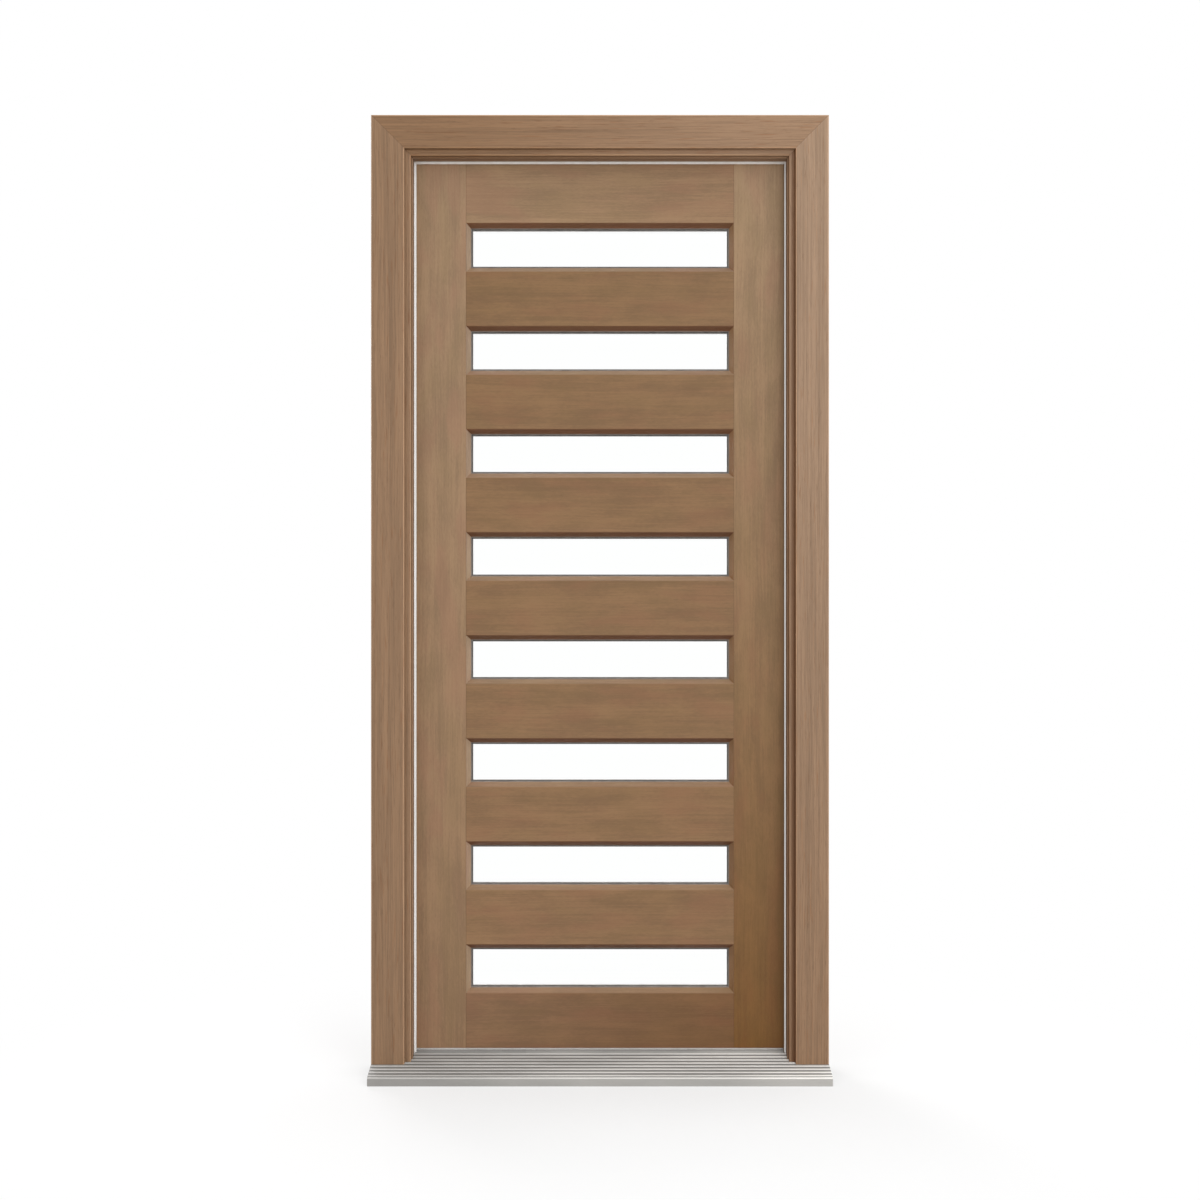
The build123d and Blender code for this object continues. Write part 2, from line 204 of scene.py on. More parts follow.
# Timber
def open_grain_group():
    """Straight open grain along the coordinate's Z: broad bands, fine fibres, dark dashes, flecks and pores.

    Each is noise squeezed many times more across the grain than along it, and a slow noise bends
    them all. Flecks are the light tail of a noise, dashes and pores the dark tails of finer ones.
    """
    tree, given, out = new_group(
        "Open straight grain",
        {
            "Vector": ("NodeSocketVector", None),
            "Dark": ("NodeSocketColor", linear(126, 98, 72)),
            "Light": ("NodeSocketColor", linear(166, 136, 108)),
            "Fleck Strength": ("NodeSocketFloat", 0.4),
            "Pore Strength": ("NodeSocketFloat", 0.3),
        },
        {"Color": "NodeSocketColor", "Roughness": "NodeSocketFloat", "Height": "NodeSocketFloat"},
    )
    vector = tree.bent(given["Vector"], (6, 6, 1.1), (0.014, 0.01, 0.0))
    bands = tree.noise(vector, (48, 48, 0.8))
    fibres = tree.noise(vector, (230, 230, 2.2), detail=3, rough=0.6)
    hairs = tree.noise(vector, (820, 820, 9), rough=0.6)
    dashes = tree.noise(vector, (420, 420, 24), detail=1)
    flecks = tree.noise(vector, (330, 330, 17), detail=1)
    pores = tree.noise(vector, (1250, 1250, 40), detail=1)
    tone = tree.blend_of((bands, 0.2), (fibres, 0.42), (hairs, 0.38))
    colour = tree.mix(tree.ease(tone, 0.37, 0.63), given["Dark"], given["Light"])
    colour = tree.mix(tree.ease(dashes, 0.36, 0.26, 0.0, 0.55), colour, given["Dark"])
    fleck_share = tree.maths("MULTIPLY", tree.ease(flecks, 0.6, 0.74), given["Fleck Strength"])
    colour = tree.mix(fleck_share, colour, given["Light"], "SOFT_LIGHT")
    pore_mask = tree.ease(pores, 0.37, 0.25)
    pore_share = tree.maths("MULTIPLY", pore_mask, given["Pore Strength"])
    tree.feed(out["Color"], tree.tint(pore_share, colour, given["Dark"]))
    sheen_of_tone = tree.ease(tone, 0.35, 0.65, 0.56, 0.47)
    tree.feed(out["Roughness"], tree.maths("MULTIPLY_ADD", pore_mask, 0.14, sheen_of_tone))
    tree.feed(out["Height"], tree.maths("SUBTRACT", tone, pore_mask))
    return tree.tree


def close_grain_group():
    """Close grain of a smooth hardwood along the coordinate's Z: soft streaks, blotches and short pores.

    The tone is a blend of four stretched noises, and a slower one turns the colour a little
    towards pink in some patches and towards olive in others.
    """
    tree, given, out = new_group(
        "Close soft grain",
        {
            "Vector": ("NodeSocketVector", None),
            "Dark": ("NodeSocketColor", linear(126, 97, 68)),
            "Light": ("NodeSocketColor", linear(160, 131, 101)),
            "Pink": ("NodeSocketColor", linear(158, 120, 94)),
            "Olive": ("NodeSocketColor", linear(136, 113, 80)),
            "Pore Strength": ("NodeSocketFloat", 0.16),
        },
        {"Color": "NodeSocketColor", "Roughness": "NodeSocketFloat", "Height": "NodeSocketFloat"},
    )
    vector = tree.bent(given["Vector"], (4, 4, 1.4), (0.03, 0.02, 0.0))
    streaks = tree.noise(vector, (34, 34, 1.6), detail=3)
    mottle = tree.noise(vector, (26, 26, 12), detail=3)
    fibres = tree.noise(vector, (280, 280, 7), detail=3, rough=0.6)
    flakes = tree.noise(vector, (420, 420, 90), rough=0.6)
    hues = tree.noise(vector, (24, 24, 7))
    pores = tree.noise(vector, (1500, 1500, 110), detail=1)
    tone = tree.blend_of((streaks, 0.26), (mottle, 0.26), (fibres, 0.28), (flakes, 0.2))
    colour = tree.mix(tree.ease(tone, 0.38, 0.62), given["Dark"], given["Light"])
    colour = tree.mix(tree.ease(hues, 0.5, 0.68, 0.0, 0.4), colour, given["Pink"])
    colour = tree.mix(tree.ease(hues, 0.5, 0.34, 0.0, 0.25), colour, given["Olive"])
    pore_mask = tree.ease(pores, 0.36, 0.24)
    pore_share = tree.maths("MULTIPLY", pore_mask, given["Pore Strength"])
    tree.feed(out["Color"], tree.tint(pore_share, colour, given["Dark"]))
    sheen_of_tone = tree.ease(tone, 0.35, 0.65, 0.54, 0.46)
    tree.feed(out["Roughness"], tree.maths("MULTIPLY_ADD", pore_mask, 0.1, sheen_of_tone))
    tree.feed(out["Height"], tree.maths("SUBTRACT", tone, pore_mask))
    return tree.tree


def foot_tint_group():
    """Tint that grows towards the foot of the door, and another across to its closing side.

    The colour is multiplied by a tint whose share grows evenly down the height. A second tint's
    share is its growth across the width times that one, or times its own share at the top if larger.
    """
    tree, given, out = new_group(
        "Tint towards the foot",
        {
            "Color": ("NodeSocketColor", linear(150, 120, 90)),
            "Place": ("NodeSocketVector", None),
            "Foot Tint": ("NodeSocketColor", (0.8, 0.72, 0.62, 1.0)),
            "Side Tint": ("NodeSocketColor", WHITE),
            "Side At Top": ("NodeSocketFloat", 0.0),
        },
        {"Color": "NodeSocketColor"},
    )
    place = tree.axes(given["Place"])
    down = tree.ease(place["Z"], LEAF_HIGH[2], LEAF_LOW[2], kind="LINEAR")
    across = tree.ease(place["X"], LEAF_LOW[0], LEAF_HIGH[0])
    share = tree.maths("MULTIPLY", tree.maths("MAXIMUM", down, given["Side At Top"]), across)
    colour = tree.tint(down, given["Color"], given["Foot Tint"])
    tree.feed(out["Color"], tree.tint(share, colour, given["Side Tint"]))
    return tree.tree


def arris_highlight_group():
    """Mask of rounded and bevelled edges, where a highlight is painted over some rubbed finish: it grows as
    the longest part of the normal falls short of 1.
    """
    tree, given, out = new_group(
        "Painted arris highlight", {"Normal": ("NodeSocketVector", None)}, {"Mask": "NodeSocketFloat"}
    )
    size = tree.node("ShaderNodeVectorMath", operation="ABSOLUTE")
    tree.feed(size.inputs[0], given["Normal"])
    part = tree.axes(size.outputs[0])
    longest = tree.maths("MAXIMUM", tree.maths("MAXIMUM", part["X"], part["Y"]), part["Z"])
    tree.feed(out["Mask"], tree.ease(longest, 0.99, 0.88))
    return tree.tree


def hairline_group():
    """Dark hairline where boards meet: at the ends of the rails and along the frame's mitres.

    A rail's line lies at the slot's half width, a mitre's where the distances from the frame's
    side and from its top are the same.
    """
    tree, given, out = new_group(
        "Joint hairline",
        {
            "Place": ("NodeSocketVector", None),
            "Rail": ("NodeSocketFloat", 0.0),
            "Mitre": ("NodeSocketFloat", 0.0),
            "Width": ("NodeSocketFloat", 0.5 * MM),
        },
        {"Mask": "NodeSocketFloat"},
    )
    place = tree.axes(given["Place"])
    side = tree.maths("ABSOLUTE", place["X"])
    rail_end = tree.maths("ABSOLUTE", tree.maths("SUBTRACT", side, SLOT_HALF_WIDTH))
    from_side = tree.maths("SUBTRACT", FRAME_HIGH[0], side)
    from_top = tree.maths("SUBTRACT", FRAME_HIGH[2], place["Z"])
    mitre = tree.maths("ABSOLUTE", tree.maths("SUBTRACT", from_side, from_top))
    rail_part = tree.maths("MULTIPLY", tree.maths("LESS_THAN", rail_end, given["Width"]), given["Rail"])
    mitre_part = tree.maths("MULTIPLY", tree.maths("LESS_THAN", mitre, given["Width"]), given["Mitre"])
    tree.feed(out["Mask"], tree.maths("MAXIMUM", rail_part, mitre_part))
    return tree.tree


def lower_edge_group():
    """Mask that grows over a short reach above a board's lower edge, where the board is made lighter."""
    tree, given, out = new_group(
        "Lighter lower edge",
        {
            "Place": ("NodeSocketVector", None),
            "Edge": ("NodeSocketFloat", 0.0),
            "Reach": ("NodeSocketFloat", 18 * MM),
        },
        {"Mask": "NodeSocketFloat"},
    )
    above = tree.maths("SUBTRACT", tree.axes(given["Place"])["Z"], given["Edge"])
    tree.feed(out["Mask"], tree.ease(above, given["Reach"], 0.0))
    return tree.tree


def corner_shade_group():
    """Mask of painted shade on a jamb's inner sides, thinly on its step, and in the step's corner.

    It is 1 where the normal looks across the opening. On the step it has the share Step, and grows
    to 1 over the last millimetres before the step meets the side of the face.
    """
    tree, given, out = new_group(
        "Painted shade in the corner",
        {
            "Place": ("NodeSocketVector", None),
            "Normal": ("NodeSocketVector", None),
            "Corner": ("NodeSocketFloat", 0.4),
            "Reach": ("NodeSocketFloat", 11 * MM),
            "Full": ("NodeSocketFloat", 4 * MM),
            "Step": ("NodeSocketFloat", 0.25),
        },
        {"Mask": "NodeSocketFloat"},
    )
    place = tree.axes(given["Place"])
    inner_side = tree.ease(tree.axes(given["Normal"])["X"], -0.5, -0.8)
    before = tree.maths("SUBTRACT", given["Corner"], place["X"])
    near = tree.ease(before, given["Reach"], given["Full"], given["Step"], 1.0)
    near = tree.maths("MULTIPLY", near, tree.maths("GREATER_THAN", before, 0.0))
    on_step = tree.maths("MULTIPLY", near, tree.maths("LESS_THAN", place["Y"], LEAF_LOW[1]))
    tree.feed(out["Mask"], tree.maths("MAXIMUM", inner_side, on_step))
    return tree.tree


OPEN_GRAIN = open_grain_group()
CLOSE_GRAIN = close_grain_group()
FOOT_TINTING = foot_tint_group()
ARRIS_HIGHLIGHT = arris_highlight_group()
HAIRLINE = hairline_group()
LOWER_EDGE = lower_edge_group()
CORNER_SHADE = corner_shade_group()

UPRIGHT = (0.0, 0.0, 0.0)
ACROSS = (0.0, np.pi / 2, 0.0)
LOWER_EDGE_TINT = (1.22, 1.24, 1.3, 1.0)
LOWER_EDGE_SHARE = 0.3
# Tint of the painted shade on the right jamb's inner sides and step corner
CORNER_SHADE_TINT = (0.55, 0.42, 0.3, 1.0)
SEAM_TINT = (0.3, 0.25, 0.22, 1.0)
GRAIN_DEPTH = 0.3 * MM


def tones_of(middle, spread):
    """The dark and light tones round a middle sRGB colour."""
    middle = np.array(middle, float)
    return {"Dark": linear(*middle * (1 - spread)), "Light": linear(*middle * (1 + spread))}


def hues_of(middle):
    """The pink and olive that a middle sRGB colour turns to in patches."""
    middle = np.array(middle, float)
    return {"Pink": linear(*middle * (1.04, 0.97, 1.0)), "Olive": linear(*middle * (0.95, 0.98, 0.92))}


def timber(name, group, turn, shift, tones, look):
    """One board's material: its own stretch of grain, tinted towards the foot and side, with painted arris
    highlights, any lighter lower edge, any painted corner shade, and joint lines.
    """
    material, tree, shader = new_material(name)
    given = tree.node("ShaderNodeTexCoord").outputs
    place = given["Object"]
    normal = given["Normal"]
    grain = tree.group(group, {"Vector": tree.stretch(place, (1, 1, 1), shift, turn), **tones})
    tinting = {"Color": grain["Color"], "Place": place, "Side At Top": look["side at top"]}
    tinting |= {"Foot Tint": look["foot"], "Side Tint": look["side"]}
    colour = tree.group(FOOT_TINTING, tinting)["Color"]
    # Painted highlight, over some rubbed finish, on rounded and bevelled edges
    colour = tree.tint(tree.group(ARRIS_HIGHLIGHT, {"Normal": normal})["Mask"], colour, look["arris highlight"])
    if "lower edge" in look:
        near_edge = tree.group(LOWER_EDGE, {"Place": place, "Edge": look["lower edge"]})["Mask"]
        colour = tree.tint(tree.maths("MULTIPLY", near_edge, LOWER_EDGE_SHARE), colour, LOWER_EDGE_TINT)
    # Painted shade on the jamb's inner sides and in its step's corner
    if "corner" in look:
        corner_shaded = tree.group(CORNER_SHADE, {"Place": place, "Normal": normal, "Corner": look["corner"]})
        colour = tree.tint(corner_shaded["Mask"], colour, CORNER_SHADE_TINT)
    seams = tree.group(HAIRLINE, {"Place": place, "Rail": look["rail"], "Mitre": look["mitre"]})
    tree.feed(shader["Base Color"], tree.tint(seams["Mask"], colour, SEAM_TINT))
    tree.feed(shader["Roughness"], grain["Roughness"])
    tree.feed(shader["Normal"], tree.relief(grain["Height"], look["bump"], GRAIN_DEPTH))
    shader["Specular IOR Level"].default_value = 0.3
    return material


# Boards: node, grain direction, middle colour, and its tints at the foot and at the closing side
FACE_WIDTH = 73.5 * MM
FRAME_SPREAD = 0.085
FRAME_BOARDS = {
    "jamb_left": (UPRIGHT, (144, 113, 85), (0.97, 0.97, 0.98, 1.0), WHITE),
    "jamb_right": (UPRIGHT, (160, 131, 105), (0.78, 0.72, 0.66, 1.0), WHITE),
    "head": (ACROSS, (138, 105, 75), WHITE, (1.26, 1.36, 1.55, 1.0)),
}
# The frame's arris highlight tint paints its rounded edges much lighter, as a highlight
for i, (node, (turn, middle, foot, side)) in enumerate(FRAME_BOARDS.items()):
    shift = (0.31 * i + 0.05, 0.17 * i, 1.7 * i)
    look = {"foot": foot, "side": side, "side at top": 1.0, "arris highlight": (1.65, 1.7, 1.8, 1.0),
            "rail": 0.0, "mitre": 0.6, "bump": 0.45}
    # The right jamb gets painted shade on its inner sides and in its step's corner
    if node == "jamb_right":
        look["corner"] = FRAME_HIGH[0] - FACE_WIDTH
    paint(node, timber(f"{node}_timber", OPEN_GRAIN, turn, shift, tones_of(middle, FRAME_SPREAD), look))

LEAF_SPREAD = 0.07
LEAF_BOARDS = {
    "hinge_stile": (UPRIGHT, (156, 127, 97), (0.86, 0.8, 0.76, 1.0), WHITE),
    "lock_stile": (UPRIGHT, (158, 129, 98), (0.5, 0.35, 0.14, 1.0), WHITE),
    "top_rail": (ACROSS, (154, 124, 93), WHITE, (0.9, 0.85, 0.8, 1.0)),
    "bottom_rail": (ACROSS, (135, 103, 75), WHITE, (0.72, 0.61, 0.44, 1.0)),
}
for node in MIDDLE_RAILS:
    LEAF_BOARDS[node] = (ACROSS, (131, 99, 65), (1.16, 1.2, 1.42, 1.0), (0.94, 0.92, 0.88, 1.0))
# The leaf's arris highlight tint paints its rounded edges a little lighter, as a highlight
for i, (node, (turn, middle, foot, side)) in enumerate(LEAF_BOARDS.items()):
    shift = (0.23 * i + 0.4, 0.11 * i, 0.9 * i)
    look = {"foot": foot, "side": side, "side at top": float(node == "top_rail"),
            "arris highlight": (1.15, 1.15, 1.15, 1.0), "rail": float(turn == ACROSS), "mitre": 0.0, "bump": 0.3}
    if turn == ACROSS and node != "bottom_rail":
        look["lower edge"] = span(node)[0][2]
    tones = {**tones_of(middle, LEAF_SPREAD), **hues_of(middle)}
    paint(node, timber(f"{node}_timber", CLOSE_GRAIN, turn, shift, tones, look))

BEAD_SPREAD = 0.06
# Each side's beads get their own colour as light from above right falls: painted in shade on top, lit below
# and on the left, half-shaded on the right
BEAD_SHADING = {
    "top": (ACROSS, (114, 77, 51)),
    "bottom": (ACROSS, (152, 124, 98)),
    "left": (UPRIGHT, (172, 146, 122)),
    "right": (UPRIGHT, (140, 106, 74)),
}
BEAD_LOOK = {"foot": (0.9, 0.86, 0.8, 1.0), "side": (0.92, 0.88, 0.82, 1.0), "side at top": 0.0,
             "arris highlight": WHITE, "rail": 1.0, "mitre": 0.0, "bump": 0.2}
for face in ("outer", "inner"):
    for i, (side, (turn, middle)) in enumerate(BEAD_SHADING.items()):
        node = f"{face}_beads_{side}"
        shift = (0.4 * i + 0.9, 0.3, 0.6 * i)
        tones = {**tones_of(middle, BEAD_SPREAD), **hues_of(middle)}
        paint(node, timber(f"{node}_timber", CLOSE_GRAIN, turn, shift, tones, BEAD_LOOK))


# Metals
def die_line_group():
    """Extruded or drawn metal: fine die lines along the coordinate's Z and a soft uneven satin."""
    tree, given, out = new_group(
        "Die line satin",
        {
            "Vector": ("NodeSocketVector", None),
            "Deep": ("NodeSocketColor", linear(150, 147, 142)),
            "Base": ("NodeSocketColor", linear(176, 173, 168)),
            "Rough Low": ("NodeSocketFloat", 0.36),
            "Rough High": ("NodeSocketFloat", 0.5),
        },
        {"Color": "NodeSocketColor", "Roughness": "NodeSocketFloat", "Height": "NodeSocketFloat"},
    )
    die_lines = tree.noise(given["Vector"], (900, 900, 3), rough=0.6)
    cloud = tree.noise(given["Vector"], (14, 14, 4), detail=3)
    specks = tree.noise(given["Vector"], (260, 260, 180))
    colour = tree.mix(tree.ease(cloud, 0.3, 0.7), given["Deep"], given["Base"])
    tree.feed(out["Color"], tree.mix(tree.ease(specks, 0.62, 0.76, 0.0, 0.35), colour, given["Deep"]))
    tree.feed(out["Roughness"], tree.ease(die_lines, 0.3, 0.7, given["Rough Low"], given["Rough High"]))
    tree.feed(out["Height"], die_lines)
    return tree.tree


DIE_LINES = die_line_group()
DIE_LINE_DEPTH = 0.1 * MM


def satin_metal(name, colour, rough, turn, metallic=1.0, highlights=None):
    """A metal of one colour, with its die lines along its length and any painted highlights and shade put
    over it.
    """
    material, tree, shader = new_material(name)
    place = tree.node("ShaderNodeTexCoord").outputs["Object"]
    satin = tree.group(DIE_LINES, {
        "Vector": tree.stretch(place, (1, 1, 1), turn=turn),
        "Base": linear(*colour),
        "Deep": linear(*0.9 * np.array(colour)),
        "Rough Low": rough - 0.06,
        "Rough High": rough + 0.08,
    })
    tree.feed(shader["Base Color"], highlights(tree, satin["Color"]) if highlights else satin["Color"])
    tree.feed(shader["Roughness"], satin["Roughness"])
    shader["Metallic"].default_value = metallic
    tree.feed(shader["Normal"], tree.relief(satin["Height"], 0.12, DIE_LINE_DEPTH))
    return material


FIRST_RIB = SILL_LOW[1] + 11 * MM
RIB_PITCH = 14 * MM
RIB_COUNT = 8
RIB_HALF_SHARE = 0.4
RIBS_END = FIRST_RIB + (RIB_COUNT - 1 + RIB_HALF_SHARE) * RIB_PITCH
# Painted highlight lines and shade on the sill's nosing, ribs, grooves and hinge side
NOSE_HIGHLIGHT_LINE = SILL_LOW[1] + 4 * MM
CREST_HIGHLIGHT_TINT = (1.84, 1.86, 1.89, 1.0)
GROOVE_SHADE_TINT = (0.57, 0.58, 0.59, 1.0)
HINGE_SIDE_SHADE_TINT = (0.74, 0.74, 0.74, 1.0)
HINGE_SIDE_HIGHLIGHT = 0.75
INNER_FLANK_HIGHLIGHT = 0.15
CREST_BLUR = 0.35
FLANK_TILT = 0.12
LOOKS_UP = 0.3


def tread_highlights(tree, plain):
    """Sill's painted highlights and shade: rib crests and the nosing's edge painted bright, grooves painted
    in shade, and the hinge side painted darker, with dimmer crests, as the lamps' reflection fades towards
    it.

    The crest highlight is a cosine over the rib pitch, which is 1 on each crest and all along the nosing's
    front, kept to the stretch that has ribs and to faces that look up. Flanks that look inwards get far less
    of it.
    """
    given = tree.node("ShaderNodeTexCoord").outputs
    place = tree.axes(given["Object"])
    facing = tree.axes(given["Normal"])
    from_first = tree.maths("SUBTRACT", place["Y"], FIRST_RIB)
    phase = tree.maths("MULTIPLY", from_first, 2 * np.pi / RIB_PITCH)
    crest_highlight = tree.ease(tree.maths("COSINE", phase), -CREST_BLUR, CREST_BLUR)
    crest_highlight = tree.maths("MAXIMUM", crest_highlight, tree.maths("LESS_THAN", place["Y"], NOSE_HIGHLIGHT_LINE))
    opening_side = tree.ease(place["X"], SILL_LOW[0], SILL_HIGH[0], HINGE_SIDE_HIGHLIGHT, 1.0)
    outer_flank = tree.ease(facing["Y"], FLANK_TILT, -FLANK_TILT, INNER_FLANK_HIGHLIGHT, 1.0)
    crest_highlight = tree.maths("MULTIPLY", crest_highlight, tree.maths("MULTIPLY", opening_side, outer_flank))
    looks_up = tree.maths("GREATER_THAN", facing["Z"], LOOKS_UP)
    on_ribs = tree.maths("MULTIPLY", looks_up, tree.maths("LESS_THAN", place["Y"], RIBS_END))
    shaded_grooves = tree.tint(1.0, plain, GROOVE_SHADE_TINT)
    lit_crests = tree.tint(1.0, plain, CREST_HIGHLIGHT_TINT)
    colour = tree.mix(on_ribs, plain, tree.mix(crest_highlight, shaded_grooves, lit_crests))
    hinge_side_shade = tree.ease(place["X"], SILL_HIGH[0], SILL_LOW[0])
    return tree.tint(hinge_side_shade, colour, HINGE_SIDE_SHADE_TINT)


# The sill's colour carries painted highlights on crests and nosing and painted shade in grooves and on the
# hinge side
SILL_METAL = satin_metal("sill_mill_aluminium", (193, 190, 185), 0.5, ACROSS, 0.15, tread_highlights)
STRIP_METAL = satin_metal("strip_mill_aluminium", (168, 165, 161), 0.46, ACROSS, 0.45)
HINGE_METAL = satin_metal("hinge_satin_steel", (164, 162, 158), 0.38, UPRIGHT)
SCREW_METAL = satin_metal("screw_bright_steel", (190, 188, 184), 0.26, UPRIGHT)
for node in ("sill", "sill_end_caps"):
    paint(node, SILL_METAL)
paint("threshold_strip", STRIP_METAL)
paint("hinge_pins", HINGE_METAL)
for place in HINGE_PLACES:
    paint(f"hinge_{place}_frame_half", HINGE_METAL)
    paint(f"hinge_{place}_leaf_half", HINGE_METAL)


# Seals and glass
def rubber_group():
    """Matte rubber or foam: slow clouds between two tones, held back a little by fine grit."""
    tree, given, out = new_group(
        "Matte rubber",
        {
            "Vector": ("NodeSocketVector", None),
            "Low": ("NodeSocketColor", linear(126, 115, 106)),
            "High": ("NodeSocketColor", linear(146, 135, 125)),
        },
        {"Color": "NodeSocketColor", "Roughness": "NodeSocketFloat"},
    )
    cloud = tree.noise(given["Vector"], (60, 60, 9), detail=3)
    grit = tree.noise(given["Vector"], (900, 900, 900), detail=1)
    share = tree.maths("MULTIPLY", tree.ease(cloud, 0.3, 0.7), tree.ease(grit, 0.2, 0.6, 0.8, 1.0))
    tree.feed(out["Color"], tree.mix(share, given["Low"], given["High"]))
    tree.feed(out["Roughness"], tree.ease(cloud, 0.3, 0.7, 0.6, 0.74))
    return tree.tree


RUBBER = rubber_group()
# A painted shadow line along the right seal's tip, beside the leaf's edge
TIP_SHADE = linear(108, 86, 64)
TIP_WIDTH = 1.4 * MM
TIP_BLUR = 0.4 * MM


def soft_rubber(name, low, high, shade_from=None):
    """Matte rubber or foam between two sRGB tones, with a painted shadow line on its tip where x is less than
    the given edge.
    """
    material, tree, shader = new_material(name)
    place = tree.node("ShaderNodeTexCoord").outputs["Object"]
    rubber = tree.group(RUBBER, {"Vector": place, "Low": linear(*low), "High": linear(*high)})
    colour = rubber["Color"]
    if shade_from is not None:
        shaded_tip = tree.ease(tree.axes(place)["X"], shade_from + TIP_BLUR, shade_from - TIP_BLUR)
        colour = tree.mix(shaded_tip, colour, TIP_SHADE)
    tree.feed(shader["Base Color"], colour)
    tree.feed(shader["Roughness"], rubber["Roughness"])
    return material


SEAL_RUBBER = soft_rubber("white_weather_seal", (244, 243, 240), (252, 251, 250))
for node in ("seal_left", "threshold_seal"):
    paint(node, SEAL_RUBBER)
SEAL_TIP = span("seal_right")[0][0]
# The right seal is painted lighter than the others, to lift it out of the jamb's shade
RIGHT_LIT_TONES = ((250, 249, 247), (253, 253, 252))
paint("seal_right", soft_rubber("lit_right_weather_seal", *RIGHT_LIT_TONES, SEAL_TIP + TIP_WIDTH))
# The head seal is painted a little darker and warmer than the others, as it looks in the head's shade
paint("seal_head", soft_rubber("shaded_head_weather_seal", (242, 236, 228), (251, 248, 243)))
paint("glass_spacers", soft_rubber("grey_spacer_bar", (158, 150, 143), (176, 168, 161)))
GASKET_RUBBER = soft_rubber("glazing_gasket", (126, 115, 106), (146, 135, 125))
GLASS_SHADOW = 0.1


def clear_glass():
    """Clear float glass with a very faint unevenness, which lets lamp light pass to what lies behind."""
    material, tree, shader = new_material("clear_float_glass")
    place = tree.node("ShaderNodeTexCoord").outputs["Object"]
    ripple = tree.noise(place, (3, 3, 3), detail=1)
    shader["Base Color"].default_value = (0.996, 1.0, 0.998, 1.0)
    shader["Transmission Weight"].default_value = 1.0
    shader["IOR"].default_value = 1.5
    tree.feed(shader["Roughness"], tree.ease(ripple, 0.3, 0.7, 0.0, 0.004))
    shadow = tree.node("ShaderNodeLightPath").outputs["Is Shadow Ray"]
    tree.feed(shader["Alpha"], tree.maths("MULTIPLY_ADD", shadow, GLASS_SHADOW - 1.0, 1.0))
    return material


GLASS = clear_glass()
for node in GLASS_NAMES:
    paint(node, GLASS)


# Added pieces: glazing gaskets and screws
def grid_faces(rows, columns, wrap_rows=False):
    """Four-sided faces of a grid whose columns close on themselves, and its rows too if asked."""
    row, column = np.meshgrid(np.arange(rows if wrap_rows else rows - 1), np.arange(columns), indexing="ij")
    next_row = (row + 1) % rows
    next_column = (column + 1) % columns
    corners = [row * columns + column, next_row * columns + column,
               next_row * columns + next_column, row * columns + next_column]
    return np.stack(corners, axis=-1).reshape(-1, 4)


def repeated(faces, size, count):
    """The same faces for a count of copies, whose points follow each other, size points to a copy."""
    starts = np.arange(count) * size
    return (faces[None] + starts[:, None, None]).reshape(-1, faces.shape[1]).tolist()


def add_piece(name, points, faces, material, body, smooth):
    """Put points and faces into a mesh that rides on a body."""
    mesh = bpy.data.meshes.new(name)
    mesh.from_pydata(points.reshape(-1, 3).tolist(), [], faces)
    mesh.polygons.foreach_set("use_smooth", np.full(len(mesh.polygons), smooth))
    mesh.materials.append(material)
    mesh.update()
    piece = bpy.data.objects.new(name, mesh)
    bpy.context.scene.collection.objects.link(piece)
    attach(piece, body)


GASKET_INSET = 9.95 * MM
GASKET_WIDTH = 1.7 * MM
GASKET_DEPTH = 2.2 * MM
GLASS_CLEARANCE = 0.05 * MM
GASKET_STEPS = 6


def glazing_gaskets(face):
    """Soft gasket in the corner between bead and glass, round every slot on one face of the leaf.

    Its section is a quarter ellipse: the inset from the slot's edge grows with the sine of the
    turn and the depth off the glass shrinks with its cosine, closed at the corner point. Carried
    round a slot, a section point at inset u has its four corners at the half sizes less u.
    """
    turn = np.linspace(0, np.pi / 2, GASKET_STEPS)
    inset = GASKET_INSET + np.append(GASKET_WIDTH * np.sin(turn), 0.0)
    lift = GLASS_CLEARANCE + np.append(GASKET_DEPTH * np.cos(turn), 0.0)
    glass_low, glass_high = span(GLASS_NAMES[0])
    sides = np.array([(-1, -1), (1, -1), (1, 1), (-1, 1)])
    centres = np.array([(span(node)[0][2] + span(node)[1][2]) / 2 for node in GLASS_NAMES])
    points = np.empty((len(centres), 4, len(inset), 3))
    points[..., 0] = sides[None, :, None, 0] * (SLOT_HALF_WIDTH - inset)
    points[..., 1] = glass_low[1] - lift if face == "outer" else glass_high[1] + lift
    points[..., 2] = centres[:, None, None] + sides[None, :, None, 1] * (SLOT_HALF_HEIGHT - inset)
    ring = grid_faces(4, len(inset), wrap_rows=True)
    if face == "inner":
        ring = ring[:, ::-1]
    faces = repeated(ring, 4 * len(inset), len(centres))
    add_piece(f"{face}_glazing_gaskets", points, faces, GASKET_RUBBER, "leaf", smooth=False)


glazing_gaskets("outer")
glazing_gaskets("inner")

SCREW_RINGS = 12
SCREW_STEPS = 40
SCREW_CROWN = 0.22 * MM
SCREW_FALL = 0.6
SCREW_RECESS = 0.9 * MM
SCREW_UNDERSIDE = 1.0 * MM
INNER_RING = 0.06
ARM_HALF_WIDTH = 0.14
ARM_LENGTH = 0.56
ARM_EDGE = 0.06


def short_of(limit, value):
    """1 where a value is short of its limit and 0 past it, over an edge as wide as ARM_EDGE."""
    return np.clip((limit - value) / ARM_EDGE + 0.5, 0, 1)


